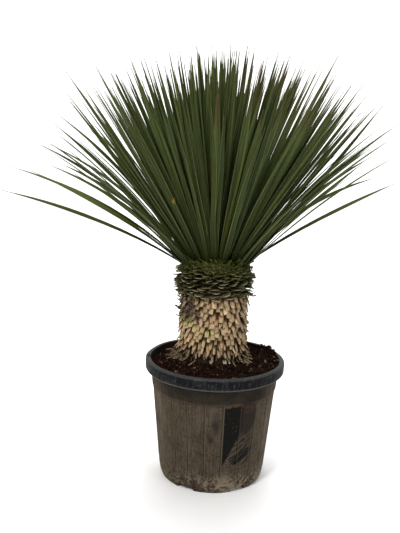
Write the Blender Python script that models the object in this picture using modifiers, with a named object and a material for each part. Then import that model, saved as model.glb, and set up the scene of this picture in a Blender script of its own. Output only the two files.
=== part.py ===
# Potted yucca: a trimmed stem with a fan of stiff leaves, in a black nursery pot filled with bark compost.
# Metres, +Z up. The origin is the centre of the pot's underside, and -Y is the front.

import math
import random

import bmesh
import bpy
from mathutils import Matrix, Vector

# Pot
POT_HEIGHT = 0.345
POT_LIP_RADIUS = 0.197
POT_LIP_INNER_RADIUS = 0.1825
POT_LIP_INNER_HEIGHT = 0.343
POT_SKIRT_DROP = 0.029
POT_SKIRT_FOOT_DROP = 0.0375
POT_SKIRT_FOOT_RADIUS = 0.1832
POT_WALL = 0.0028
POT_NECK_RADIUS = 0.1800
POT_STEP_HEIGHT = 0.265
POT_STEP_RADIUS = 0.1765
POT_STEP_DEPTH = 0.0025
POT_HEEL_HEIGHT = 0.040
POT_HEEL_RADIUS = 0.1525
POT_FOOT_RADIUS = 0.1430
POT_FOOT_WIDTH = 0.0170
POT_FOOT_HEIGHT = 0.0125
POT_PAD_RADIUS = 0.0400
POT_FLOOR_TOP = 0.0160
POT_STEPS = 40
RIB_COUNT = 22
RIB_FIRST_AZIMUTH = math.radians(8.5)
RIB_WIDTH = 0.0030
RIB_HEIGHT = 0.0013
NOTCH_COUNT = 6
NOTCH_WIDTH = 0.039
DRAIN_RADIUS = 0.009
DRAIN_RING_RADIUS = 0.085

# Gap that touching pieces keep
GAP = 0.0003

# Plant axis, a little left of the pot's
PLANT_X = -0.009
STEM_RADIUS = 0.0860
STEM_BURIED_BASE = 0.225
STEM_TOP = 0.533
COLLAR_TOP = 0.598
COLLAR_RADIUS = 0.0900
HEAD_RADIUS = 0.0900
HEAD_RISE = 0.0600
STEM_STEPS = 28

# Compost
SOIL_LEVEL = 0.329
SOIL_MOUND = 0.022
SOIL_RINGS = 6

# Dry leaf bases that shingle the stem
HUSK_COUNT = 82
HUSK_LENGTH = 0.046
HUSK_WIDTH = 0.0225
HUSK_THICKNESS = 0.0030
HUSK_SINK = 0.0035
HUSK_LOWEST = 0.404
HUSK_HIGHEST = 0.529
FOOT_HUSK_COUNT = 18
FOOT_HUSK_HEIGHT = 0.388
FOOT_HUSK_CLEARANCE = 0.004

# Green leaf bases cut short round the collar
STUB_COUNT = 102
CROWN_STUB_COUNT = 56
STUB_LENGTH = 0.046
STUB_REACH = 0.0245
STUB_ROOT_WIDTH = 0.0280
STUB_END_WIDTH = 0.0120
STUB_THICKNESS = 0.0046

# Leaves
LEAF_COUNT = 206
LEAF_LENGTH = 0.522
LEAF_WIDTH = 0.0128
LEAF_KEEL = 0.0021
LEAF_SINK = 0.020
LEAF_LARGEST_LEAN = 36
LEAF_RING = 0.88
LEAF_STATIONS = (0.38, 0.76)
GOLDEN_ANGLE = math.radians(137.508)

# Lone leaves at the edge of the fan: azimuth from the front towards +X, lean from upright, length,
# downward bend and twist, with angles in degrees
LONE_LEAVES = (
    (-82, 58.0, 0.513, 20, 60),
    (-88, 45.8, 0.516, 32, 50),
    (-76, 49.4, 0.472, 18, 65),
    (-108, 44.8, 0.495, 31, 40),
    (-121, 48.1, 0.526, 29, 55),
    (-96, 36.4, 0.504, 34, 60),
    (-112, 38.0, 0.527, 36, 35),
    (-103, 38.7, 0.537, 16, 55),
    (-91, 26.2, 0.520, 32, 50),
    (-127, 34.2, 0.526, 28, -40),
    (106, 57.0, 0.508, 12, -50),
    (119, 44.9, 0.509, 38, -65),
    (114, 41.7, 0.501, 23, -40),
    (122, 56.6, 0.524, 2, -55),
    (86, 33.2, 0.543, 21, -45),
    (80, 38.4, 0.553, -3, -60),
    (98, 34.2, 0.522, 2, -30),
    (66, 43.0, 0.505, 14, -25),
    (150, 52.0, 0.515, 18, 20),
    (172, 58.0, 0.520, 14, -25),
    (196, 47.0, 0.530, 26, 15),
    (217, 56.0, 0.500, 12, -20),
    (158, 40.0, 0.520, 20, 30),
    (184, 39.0, 0.530, 15, -35),
    (-46, 45.0, 0.500, 16, 30),
    (38, 43.0, 0.490, 12, -20),
)
LONE_RING = 0.976


def clear_scene():
    for obj in list(bpy.data.objects):
        bpy.data.objects.remove(obj, do_unlink=True)


def make_collection(name):
    collection = bpy.data.collections.new(name)
    bpy.context.scene.collection.children.link(collection)
    return collection


def make_material(name, colour, roughness):
    material = bpy.data.materials.new(name)
    material.use_nodes = True
    shader = material.node_tree.nodes["Principled BSDF"]
    shader.inputs["Base Color"].default_value = (*colour, 1)
    shader.inputs["Roughness"].default_value = roughness
    shader.inputs["Metallic"].default_value = 0
    return material


def object_from(bm, name, collection):
    """A mesh object from bm, faces turned outward. bm is freed."""
    if bm.calc_volume(signed=True) < 0:
        bmesh.ops.reverse_faces(bm, faces=bm.faces)
    mesh = bpy.data.meshes.new(name)
    bm.to_mesh(mesh)
    bm.free()
    obj = bpy.data.objects.new(name, mesh)
    collection.objects.link(obj)
    return obj


def turned(name, profile, steps, collection):
    """Turns a profile of (radius, height) points, which runs down its outer side, about Z."""
    mesh = bpy.data.meshes.new(name)
    edges = [(i, (i + 1) % len(profile)) for i in range(len(profile))]
    if profile[0][0] == 0 and profile[-1][0] == 0:
        edges.pop()
    mesh.from_pydata([(r, 0, z) for r, z in profile], edges, [])
    obj = bpy.data.objects.new(name, mesh)
    collection.objects.link(obj)
    screw = obj.modifiers.new("Turn", "SCREW")
    screw.steps = screw.render_steps = steps
    screw.use_merge_vertices = True
    screw.merge_threshold = 0.00005
    return applied(obj)


def applied(obj):
    """Replaces obj's mesh by what its modifiers make."""
    graph = bpy.context.evaluated_depsgraph_get()
    graph.update()
    mesh = bpy.data.meshes.new_from_object(obj.evaluated_get(graph))
    obj.modifiers.clear()
    obj.data = mesh
    return obj


def combine(obj, others, operation, solver="EXACT"):
    """One applied Boolean of obj with a whole collection, which is then removed."""
    boolean = obj.modifiers.new("Join", "BOOLEAN")
    boolean.operation = operation
    boolean.operand_type = "COLLECTION"
    boolean.collection = others
    boolean.solver = solver
    applied(obj)
    for other in list(others.objects):
        bpy.data.objects.remove(other, do_unlink=True)
    bpy.data.collections.remove(others)
    return obj


def keep_outer_body(obj):
    """Fills the hollows that fusing seals, and drops loose scraps: only the largest shell stays."""
    bm = bmesh.new()
    bm.from_mesh(obj.data)
    waiting = set(bm.verts)
    shells = []
    while waiting:
        shell = []
        reached = [waiting.pop()]
        while reached:
            vert = reached.pop()
            shell.append(vert)
            found = {edge.other_vert(vert) for edge in vert.link_edges} & waiting
            waiting -= found
            reached.extend(found)
        shells.append(shell)
    shells.sort(key=len)
    spare = [vert for shell in shells[:-1] for vert in shell]
    bmesh.ops.delete(bm, geom=spare, context="VERTS")
    bm.to_mesh(obj.data)
    bm.free()
    return obj


def around(azimuth):
    """Outward direction at an azimuth that runs from the front (-Y) towards +X."""
    return Vector((math.sin(azimuth), -math.cos(azimuth), 0))


def finish(obj, material):
    obj.data.materials.clear()
    obj.data.materials.append(material)
    obj.data.shade_smooth()
    obj.data.set_sharp_from_angle(angle=math.radians(35))


def pot_wall_radius(height):
    """Outer radius of the straight wall below the step ring."""
    share = (height - POT_HEEL_HEIGHT) / (POT_STEP_HEIGHT - POT_HEEL_HEIGHT)
    return POT_HEEL_RADIUS + share * (POT_STEP_RADIUS - POT_STEP_DEPTH - POT_HEEL_RADIUS)


def pot_inner_radius(height):
    """Radius of the pot's inside at a height."""
    if height < POT_HEEL_HEIGHT:
        share = (height - POT_FLOOR_TOP) / (POT_HEEL_HEIGHT - POT_FLOOR_TOP)
        return POT_HEEL_RADIUS - POT_WALL - 0.006 * (1 - share)
    if height < POT_STEP_HEIGHT:
        return pot_wall_radius(height) - POT_WALL
    neck_height = POT_HEIGHT - POT_SKIRT_FOOT_DROP
    neck = POT_NECK_RADIUS - POT_WALL
    if height < neck_height:
        share = (height - POT_STEP_HEIGHT) / (neck_height - POT_STEP_HEIGHT)
        low = POT_STEP_RADIUS - POT_STEP_DEPTH - POT_WALL
        return low + share * (neck - low)
    share = min((height - neck_height) / (POT_LIP_INNER_HEIGHT - neck_height), 1)
    return neck + share * (POT_LIP_INNER_RADIUS - neck)


def pot_profile():
    skirt_turn = POT_HEIGHT - POT_SKIRT_DROP
    skirt_foot = POT_HEIGHT - POT_SKIRT_FOOT_DROP
    outer = [
        (POT_LIP_INNER_RADIUS + 0.006, POT_HEIGHT),
        (POT_LIP_RADIUS - 0.003, POT_HEIGHT - 0.0015),
        (POT_LIP_RADIUS, POT_HEIGHT - 0.0065),
        (POT_LIP_RADIUS - 0.0005, skirt_turn),
        (POT_SKIRT_FOOT_RADIUS, skirt_foot),
        (POT_SKIRT_FOOT_RADIUS, skirt_foot + 0.0018),
        (POT_LIP_RADIUS - 0.0030, skirt_turn + 0.0012),
        (POT_LIP_RADIUS - 0.0032, POT_HEIGHT - 0.0070),
        (POT_LIP_INNER_RADIUS + 0.004, POT_HEIGHT - 0.0045),
        (POT_NECK_RADIUS, skirt_foot),
        (POT_STEP_RADIUS, POT_STEP_HEIGHT + 0.003),
        (pot_wall_radius(POT_STEP_HEIGHT), POT_STEP_HEIGHT),
        (POT_HEEL_RADIUS, POT_HEEL_HEIGHT),
        (POT_HEEL_RADIUS - 0.0015, POT_HEEL_HEIGHT - 0.012),
        (POT_FOOT_RADIUS + 0.0045, POT_FOOT_HEIGHT - 0.002),
        (POT_FOOT_RADIUS, 0),
        (POT_FOOT_RADIUS - POT_FOOT_WIDTH, 0),
        (POT_FOOT_RADIUS - POT_FOOT_WIDTH - 0.002, POT_FOOT_HEIGHT),
        (POT_PAD_RADIUS + 0.002, POT_FOOT_HEIGHT),
        (POT_PAD_RADIUS, 0),
        (0, 0),
    ]
    inner_heights = (POT_FLOOR_TOP, POT_HEEL_HEIGHT, POT_STEP_HEIGHT, skirt_foot)
    inner = [(0, POT_FLOOR_TOP)] + [(pot_inner_radius(z), z) for z in inner_heights]
    return outer + inner + [(POT_LIP_INNER_RADIUS, POT_LIP_INNER_HEIGHT)]


def make_pot(parts):
    """Nursery pot: lip with a turned-in skirt, step ring, ribbed wall, notched foot and drain holes."""
    profile = pot_profile()
    closing = profile.index((0, 0))
    pot = turned("pot", profile[closing + 1 :] + profile[: closing + 1], POT_STEPS, parts)
    cutters = make_collection("pot cutters")
    for k in range(NOTCH_COUNT):
        azimuth = math.radians(30) + k * math.tau / NOTCH_COUNT
        add_notch_cutter(azimuth, cutters)
        add_drain_cutter(azimuth, cutters)
    combine(pot, cutters, "DIFFERENCE")
    ribs = make_collection("pot ribs")
    for k in range(RIB_COUNT):
        add_rib(RIB_FIRST_AZIMUTH + k * math.tau / RIB_COUNT, ribs)
    combine(pot, ribs, "UNION")
    return pot


def add_notch_cutter(azimuth, cutters):
    """A wedge with sloping sides, wider at the floor, through the foot ring."""
    bm = bmesh.new()
    bmesh.ops.create_cube(bm, size=1)
    middle = POT_FOOT_RADIUS - POT_FOOT_WIDTH / 2
    for vert in bm.verts:
        flare = 1.12 if vert.co.z < 0 else 0.86
        vert.co.x *= NOTCH_WIDTH * flare
        vert.co.y *= 0.040
        vert.co.z = -0.004 if vert.co.z < 0 else POT_FOOT_HEIGHT - 0.0004
    spin = Matrix.Rotation(azimuth, 4, "Z")
    bmesh.ops.transform(bm, matrix=Matrix.Translation(around(azimuth) * middle) @ spin, verts=bm.verts)
    object_from(bm, "notch", cutters)


def add_drain_cutter(azimuth, cutters):
    bm = bmesh.new()
    bmesh.ops.create_cone(
        bm, cap_ends=True, segments=10, radius1=DRAIN_RADIUS, radius2=DRAIN_RADIUS, depth=0.03
    )
    place = around(azimuth) * DRAIN_RING_RADIUS + Vector((0, 0, POT_FOOT_HEIGHT))
    bmesh.ops.translate(bm, vec=place, verts=bm.verts)
    object_from(bm, "drain", cutters)


def add_rib(azimuth, ribs):
    """A slim upright ridge that follows the wall's slope between the step ring and the heel."""
    bm = bmesh.new()
    bmesh.ops.create_cube(bm, size=1)
    ends = {False: POT_HEEL_HEIGHT + 0.004, True: POT_STEP_HEIGHT - 0.001}
    for vert in bm.verts:
        height = ends[vert.co.z > 0]
        outward = pot_wall_radius(height) * math.cos(math.pi / POT_STEPS)
        outward += RIB_HEIGHT + 0.0005 if vert.co.y < 0 else -POT_WALL * 0.5
        vert.co = (vert.co.x * RIB_WIDTH, -outward, height)
    bmesh.ops.rotate(bm, matrix=Matrix.Rotation(azimuth, 3, "Z"), verts=bm.verts)
    object_from(bm, "rib", ribs)


def soil_height(x, y):
    """Surface of the compost: mounded at the stem, heaped at the back right, low at the back left."""
    reach = math.hypot(x - PLANT_X, y)
    mound = SOIL_MOUND * math.exp(-(max(reach - 0.085, 0) / 0.045) ** 2)
    heap = 0.016 * math.exp(-((x - 0.115) ** 2 + (y - 0.105) ** 2) / 0.0042)
    hollow = 0.010 * math.exp(-((x + 0.085) ** 2 + (y - 0.125) ** 2) / 0.0040)
    crumbs = 0.0022 * math.sin(97 * x + 31 * y) * math.cos(83 * y - 44 * x)
    return SOIL_LEVEL + mound + heap - hollow + crumbs


def make_soil(parts):
    """Compost that fills the pot to the lip, with a plain hole for the buried stem."""
    heights = (POT_HEIGHT - POT_SKIRT_FOOT_DROP, POT_STEP_HEIGHT, POT_HEEL_HEIGHT, POT_FLOOR_TOP + GAP)
    side = [(pot_inner_radius(z) - 1.5 * GAP, z) for z in heights]
    rim = pot_inner_radius(SOIL_LEVEL) - 1.5 * GAP
    rings = [(rim * (k + 1) / SOIL_RINGS, SOIL_LEVEL) for k in range(SOIL_RINGS)]
    profile = [(0, SOIL_LEVEL)] + rings + side + [(0, POT_FLOOR_TOP + GAP)]
    soil = turned("compost", profile, POT_STEPS, parts)
    for vert in soil.data.vertices:
        if abs(vert.co.z - SOIL_LEVEL) < 0.0001:
            reach = math.hypot(vert.co.x, vert.co.y)
            vert.co.z = soil_height(vert.co.x, vert.co.y)
            if reach > rim - 0.001:
                follow = (pot_inner_radius(vert.co.z) - 1.5 * GAP) / reach
                vert.co.x *= follow
                vert.co.y *= follow
    cutters = make_collection("soil cutters")
    bm = bmesh.new()
    depth = 0.30
    hole = STEM_RADIUS + 2 * GAP
    bmesh.ops.create_cone(
        bm, cap_ends=True, segments=STEM_STEPS, radius1=hole, radius2=hole, depth=depth
    )
    bottom = STEM_BURIED_BASE - GAP
    bmesh.ops.translate(bm, vec=(PLANT_X, 0, bottom + depth / 2), verts=bm.verts)
    object_from(bm, "hole", cutters)
    return combine(soil, cutters, "DIFFERENCE")


def make_slab(stations, collection):
    """A tapering slab. Each of its two stations is (centre, across, up, width, thickness)."""
    bm = bmesh.new()
    bmesh.ops.create_cube(bm, size=1)
    for vert in bm.verts:
        centre, across, up, width, thickness = stations[vert.co.y > 0]
        vert.co = centre + across * (vert.co.x * width) + up * (vert.co.z * thickness)
    return object_from(bm, "slab", collection)


def make_stem(parts):
    """Buried base and dry part of the stem, shingled with the tan bases of old leaves."""
    profile = [
        (0, STEM_TOP),
        (STEM_RADIUS + 0.002, STEM_TOP),
        (STEM_RADIUS - 0.003, STEM_TOP - 0.06),
        (STEM_RADIUS, SOIL_LEVEL + 0.045),
        (STEM_RADIUS, STEM_BURIED_BASE + 0.02),
        (STEM_RADIUS * 0.8, STEM_BURIED_BASE),
        (0, STEM_BURIED_BASE),
    ]
    stem = turned("dry_stem", profile, STEM_STEPS, parts)
    stem.data.transform(Matrix.Translation((PLANT_X, 0, 0)))
    draw = random.Random(11)
    husks = make_collection("husks")
    for k in range(HUSK_COUNT):
        share = (k + 0.5) / HUSK_COUNT
        root_height = HUSK_LOWEST + share * (HUSK_HIGHEST - HUSK_LOWEST)
        flare = math.radians(15 + draw.uniform(-3, 6) + 12 * max(0, 1 - share * 5))
        add_husk(k * GOLDEN_ANGLE, root_height, flare, HUSK_LENGTH, draw, husks)
    for k in range(FOOT_HUSK_COUNT):
        azimuth = (k + draw.uniform(-0.25, 0.25)) * math.tau / FOOT_HUSK_COUNT
        flare = math.radians(draw.uniform(40, 56))
        add_husk(azimuth, FOOT_HUSK_HEIGHT, flare, HUSK_LENGTH * 1.15, draw, husks)
    return keep_outer_body(combine(stem, husks, "UNION", "MANIFOLD"))


def add_husk(azimuth, root_height, flare, length, draw, husks):
    """One dry leaf base: it leaves the stem and hangs down, and its tip clears the compost."""
    out = around(azimuth)
    across = Vector((out.y, -out.x, 0))
    sway = math.radians(draw.uniform(-9, 9))
    down = Vector((0, 0, -1)) * math.cos(flare) + out * math.sin(flare)
    down = (down * math.cos(sway) + across * math.sin(sway)).normalized()
    root = Vector((PLANT_X, 0, root_height)) + out * (STEM_RADIUS - HUSK_SINK)
    tip = root + down * length * draw.uniform(0.88, 1.08)
    tip.z = max(tip.z, soil_height(tip.x, tip.y) + FOOT_HUSK_CLEARANCE)
    down = (tip - root).normalized()
    across = (across - down * across.dot(down)).normalized()
    face = down.cross(across)
    wide = HUSK_WIDTH * draw.uniform(0.85, 1.1)
    stations = {
        False: (root, across, face, wide, HUSK_THICKNESS * 1.4),
        True: (tip, across, face, wide * draw.uniform(0.62, 0.85), HUSK_THICKNESS),
    }
    make_slab(stations, husks)


def make_collar(parts):
    """Barrel of green leaf bases, trimmed short, that stand straight out of the stem."""
    low = STEM_TOP + GAP
    profile = [
        (0, COLLAR_TOP),
        (COLLAR_RADIUS - 0.002, COLLAR_TOP),
        (COLLAR_RADIUS, (low + COLLAR_TOP) / 2),
        (COLLAR_RADIUS - 0.002, low),
        (0, low),
    ]
    collar = turned("trimmed_collar", profile, STEM_STEPS, parts)
    collar.data.transform(Matrix.Translation((PLANT_X, 0, 0)))
    draw = random.Random(23)
    stubs = make_collection("stubs")
    low, high = STEM_TOP + 0.0070, COLLAR_TOP - 0.0078
    for k in range(STUB_COUNT):
        share = (k + 0.5) / STUB_COUNT
        out = around(k * GOLDEN_ANGLE)
        surface = Vector((PLANT_X, 0, low + share * (high - low))) + out * COLLAR_RADIUS
        rise = math.radians(-3 + 19 * share + draw.uniform(-4, 3))
        add_stub(out, surface, rise, STUB_REACH * draw.uniform(0.78, 1.08), stubs)
    return keep_outer_body(combine(collar, stubs, "UNION", "MANIFOLD"))


def add_stub(out, surface, rise, reach, stubs):
    """One trimmed leaf base: wide and thick at the stem, narrow at the cut."""
    across = Vector((-out.y, out.x, 0))
    along = out * math.cos(rise) + Vector((0, 0, math.sin(rise)))
    up = across.cross(along).normalized()
    root = surface - out * (STUB_LENGTH - STUB_REACH)
    stations = {
        False: (root, across, up, STUB_ROOT_WIDTH, STUB_THICKNESS),
        True: (surface + along * reach, across, up, STUB_END_WIDTH, STUB_THICKNESS * 0.6),
    }
    make_slab(stations, stubs)


def leaf_width_share(t):
    """Blade width along the leaf, as a share of its widest: slim at the root, full past the middle."""
    return min(0.58 + 0.78 * t, 1.0) if t < 0.7 else max(1 - ((t - 0.7) / 0.3) ** 1.5, 0)


def add_leaf(azimuth, ring, lean, length, bend, twist, leaves):
    """A three-sided keeled blade. ring is its root's place on the crown, from 0 at the middle to 1."""
    bm = bmesh.new()
    bmesh.ops.create_cone(bm, cap_ends=True, segments=3, radius1=1, radius2=0, depth=1)
    bmesh.ops.translate(bm, vec=(0, 0, 0.5), verts=bm.verts)
    for station in LEAF_STATIONS:
        everything = bm.verts[:] + bm.edges[:] + bm.faces[:]
        bmesh.ops.bisect_plane(bm, geom=everything, plane_co=(0, 0, station), plane_no=(0, 0, 1))
    out = around(azimuth)
    side = Vector((-out.y, out.x, 0))
    surface = crown_point(out, ring)
    ahead = out * math.sin(lean) + Vector((0, 0, math.cos(lean)))
    under = out * math.cos(lean) - Vector((0, 0, math.sin(lean)))
    sink = min(LEAF_SINK, (surface.z - COLLAR_TOP - LEAF_KEEL * 2) / ahead.z)
    start = surface - ahead * sink
    whole = length + sink
    for vert in bm.verts:
        t = vert.co.z
        heading = math.atan2(vert.co.x, vert.co.y)
        centre = start + ahead * (whole * t) + under * (whole * 0.5 * bend * t * t)
        turn = twist * min(t * 1.6, 1)
        wide = side * math.cos(turn) + under * math.sin(turn)
        deep = under * math.cos(turn) - side * math.sin(turn)
        half = LEAF_WIDTH * 0.5 * leaf_width_share(t)
        across = math.sin(heading) * half / math.cos(math.pi / 6)
        keel = math.cos(heading) * LEAF_KEEL * (1 - 0.5 * t) if t < 1 else 0
        vert.co = centre + wide * across + deep * keel
    object_from(bm, "leaf", leaves)


def crown_point(out, ring):
    """A point on the domed crown in the direction out, at a share of the crown's radius."""
    rise = HEAD_RISE * math.sqrt(1 - ring**2)
    return Vector((PLANT_X, 0, COLLAR_TOP + GAP + rise)) + out * (HEAD_RADIUS * ring)


def make_head(parts):
    """Domed crown: a fan of leaves, sparse at its edge, and cut leaf bases among their roots."""
    low = COLLAR_TOP + GAP
    domed = [
        (HEAD_RADIUS * math.cos(a), low + HEAD_RISE * math.sin(a))
        for a in (math.radians(d) for d in (72, 54, 36, 18, 0))
    ]
    profile = [(0, low + HEAD_RISE)] + domed + [(0, low)]
    head = turned("leaf_head", profile, STEM_STEPS, parts)
    head.data.transform(Matrix.Translation((PLANT_X, 0, 0)))
    draw = random.Random(41)
    leaves = make_collection("leaves")
    for k in range(LEAF_COUNT):
        share = (k + 0.5) / LEAF_COUNT
        azimuth = k * GOLDEN_ANGLE + draw.uniform(-0.05, 0.05)
        lean = math.radians(LEAF_LARGEST_LEAN * share**0.56 + draw.uniform(-1.6, 1.6))
        length = LEAF_LENGTH * draw.uniform(0.93, 1.04) * (1 - 0.04 * share)
        bend = math.radians(draw.uniform(-1, 5))
        twist = math.radians(draw.uniform(-38, 38))
        add_leaf(azimuth, LEAF_RING * math.sqrt(share), abs(lean), length, bend, twist, leaves)
    for azimuth, lean, length, bend, twist in LONE_LEAVES:
        angles = [math.radians(value) for value in (azimuth, lean, bend, twist)]
        add_leaf(angles[0], LONE_RING, angles[1], length, angles[2], angles[3], leaves)
    for k in range(CROWN_STUB_COUNT):
        share = (k + 0.5) / CROWN_STUB_COUNT
        out = around(k * GOLDEN_ANGLE)
        rise = math.radians(23 + 36 * share + draw.uniform(-4, 5))
        surface = crown_point(out, math.cos(math.radians(6 + 32 * share)))
        add_stub(out, surface, rise, STUB_REACH * draw.uniform(0.70, 0.95), leaves)
    return keep_outer_body(combine(head, leaves, "UNION", "MANIFOLD"))


def main():
    clear_scene()
    parts = make_collection("potted yucca")
    finish(make_pot(parts), make_material("pot plastic", (0.045, 0.043, 0.040), 0.6))
    finish(make_soil(parts), make_material("bark compost", (0.035, 0.020, 0.014), 0.95))
    finish(make_stem(parts), make_material("dry leaf base", (0.42, 0.29, 0.16), 0.85))
    finish(make_collar(parts), make_material("cut leaf base", (0.06, 0.075, 0.025), 0.7))
    finish(make_head(parts), make_material("yucca leaf", (0.09, 0.14, 0.05), 0.5))


main()
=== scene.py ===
import random
from math import atan2, copysign, cos, exp, hypot, pi, radians, sin, sqrt, tau

import bmesh
import bpy
from mathutils import Matrix, Vector, noise


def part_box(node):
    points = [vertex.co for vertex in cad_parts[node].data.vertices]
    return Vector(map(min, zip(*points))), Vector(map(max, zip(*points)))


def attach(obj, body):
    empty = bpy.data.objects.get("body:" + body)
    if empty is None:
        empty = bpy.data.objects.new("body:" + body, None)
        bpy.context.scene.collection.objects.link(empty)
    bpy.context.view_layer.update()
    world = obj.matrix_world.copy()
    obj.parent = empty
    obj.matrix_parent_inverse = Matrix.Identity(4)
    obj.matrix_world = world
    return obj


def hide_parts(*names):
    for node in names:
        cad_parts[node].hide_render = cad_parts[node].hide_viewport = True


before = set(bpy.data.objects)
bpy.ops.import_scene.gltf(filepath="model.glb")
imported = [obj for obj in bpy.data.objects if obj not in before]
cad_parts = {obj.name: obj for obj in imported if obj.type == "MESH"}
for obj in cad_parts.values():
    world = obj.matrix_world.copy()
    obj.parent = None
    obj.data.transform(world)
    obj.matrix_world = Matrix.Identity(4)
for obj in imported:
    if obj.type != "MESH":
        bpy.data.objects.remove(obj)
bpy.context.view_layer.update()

upward = Vector((0, 0, 1))
goldenAngle = radians(137.508)
plantX = -0.009          # the plant stands a little left of the pot's middle
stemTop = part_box("dry_stem")[1].z
collarLow, collarHigh = (corner.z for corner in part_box("trimmed_collar"))


# Small helpers

def around(azimuth):     # outward direction, from the front (-Y) towards +X
    return Vector((sin(azimuth), -cos(azimuth), 0))


def smooth(value, low, high):
    share = min(max((value - low) / (high - low), 0), 1)
    return share * share * (3 - 2 * share)


def shares(count):       # each number with its place from 0 to 1
    return [(k, (k + 0.5) / count) for k in range(count)]


def wobble(spot, scale, seed):
    return noise.noise(spot * scale + Vector((seed, seed * 1.7, -seed)))


def ripple(x, y, z):
    return noise.noise(Vector((x, y, z)))


def fromStem(out, reach, height):     # a spot at some reach from the plant's axis
    return Vector((plantX, 0, height)) + out * reach


def addPiece(name, bm, finish, nodes=(), sharp=40):
    mesh = bpy.data.meshes.new(name)
    bm.to_mesh(mesh)
    bm.free()
    mesh.materials.append(finish)
    mesh.shade_smooth()
    mesh.set_sharp_from_angle(angle=radians(sharp))
    piece = bpy.data.objects.new(name, mesh)
    bpy.context.scene.collection.objects.link(piece)
    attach(piece, "root")
    if nodes:
        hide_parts(*nodes)
    triangles = sum(len(face.vertices) - 2 for face in mesh.polygons)
    print(f"{name}: {triangles} triangles")
    return piece


# Templates have across (-1 to 1) in x, depth (-1 to 1) in y and along (0 to 1) in z.

def rodTemplate(sides, cuts):
    bm = bmesh.new()
    bmesh.ops.create_cone(bm, cap_ends=True, segments=sides, radius1=1, radius2=1, depth=1)
    bmesh.ops.translate(bm, vec=(0, 0, 0.5), verts=bm.verts)
    for cut in cuts:
        everything = bm.verts[:] + bm.edges[:] + bm.faces[:]
        bmesh.ops.bisect_plane(bm, geom=everything, plane_co=(0, 0, cut), plane_no=(0, 0, 1))
    return templateFrom(bm)


def crumbTemplate(subdivisions):
    bm = bmesh.new()
    bmesh.ops.create_icosphere(bm, subdivisions=subdivisions, radius=1)
    return templateFrom(bm)


def templateFrom(bm):
    mesh = bpy.data.meshes.new("template")
    bm.to_mesh(mesh)
    bm.free()
    return mesh


def newBody():
    bm = bmesh.new()
    bm.verts.layers.float_vector.new("place")
    return bm


def pour(whole, part):
    mesh = templateFrom(part)
    whole.from_mesh(mesh)
    bpy.data.meshes.remove(mesh)


# Each copy is (tone, shape): shape turns the template's across, depth and along into a place.
# The material reads across, along and tone from the attribute "place".

def stampAll(whole, template, copies, batch=40):
    for first in range(0, len(copies), batch):
        part = newBody()
        for tone, shape in copies[first:first + batch]:
            start = len(part.verts)
            part.from_mesh(template)
            part.verts.ensure_lookup_table()
            layer = part.verts.layers.float_vector["place"]
            for vert in part.verts[start:]:
                across, deep, along = vert.co
                vert[layer] = (across, along, tone)
                vert.co = shape(across, deep, along)
        pour(whole, part)


# Turns a wire of (radius, height) points about an upright axis.

def turnedBody(points, steps, rounding, closed=False, middle=0):
    bm = newBody()
    verts = [bm.verts.new((radius, 0, height)) for radius, height in points]
    for first, second in zip(verts, verts[1:]):
        bm.edges.new((first, second))
    if closed:
        bm.edges.new((verts[-1], verts[0]))
    # only where the wire turns: straight stretches get no roundings
    corners = [vert for vert in verts if len(vert.link_edges) == 2 and vert.calc_edge_angle() > 0.01]
    bmesh.ops.bevel(bm, geom=corners, offset=rounding, segments=3, profile=0.5, affect="VERTICES",
                    material=-1)
    bmesh.ops.spin(bm, geom=bm.verts[:] + bm.edges[:], cent=(0, 0, 0), axis=(0, 0, 1), dvec=(0, 0, 0),
                   angle=tau, steps=steps, use_merge=True)
    bmesh.ops.remove_doubles(bm, verts=bm.verts, dist=0.00002)
    bmesh.ops.recalc_face_normals(bm, faces=bm.faces)
    bmesh.ops.translate(bm, vec=(middle, 0, 0), verts=bm.verts)
    return bm


# Shader maths: a Wire is a socket that can be used in sums.

def sumNode(operation, turned=False):
    def reckon(wire, other):
        first, second = (other, wire) if turned else (wire, other)
        return wire.finish.add("ShaderNodeMath", {"operation": operation}, {0: first, 1: second})
    return reckon


class Wire:
    def __init__(self, finish, socket):
        self.finish = finish
        self.socket = socket

    __add__, __radd__ = sumNode("ADD"), sumNode("ADD", True)
    __sub__, __rsub__ = sumNode("SUBTRACT"), sumNode("SUBTRACT", True)
    __mul__, __rmul__ = sumNode("MULTIPLY"), sumNode("MULTIPLY", True)
    __truediv__, __rtruediv__ = sumNode("DIVIDE"), sumNode("DIVIDE", True)
    __pow__, __rpow__ = sumNode("POWER"), sumNode("POWER", True)

    def __neg__(self):
        return self * -1

    def __abs__(self):
        return self.finish.add("ShaderNodeMath", {"operation": "ABSOLUTE"}, {0: self})


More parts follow.
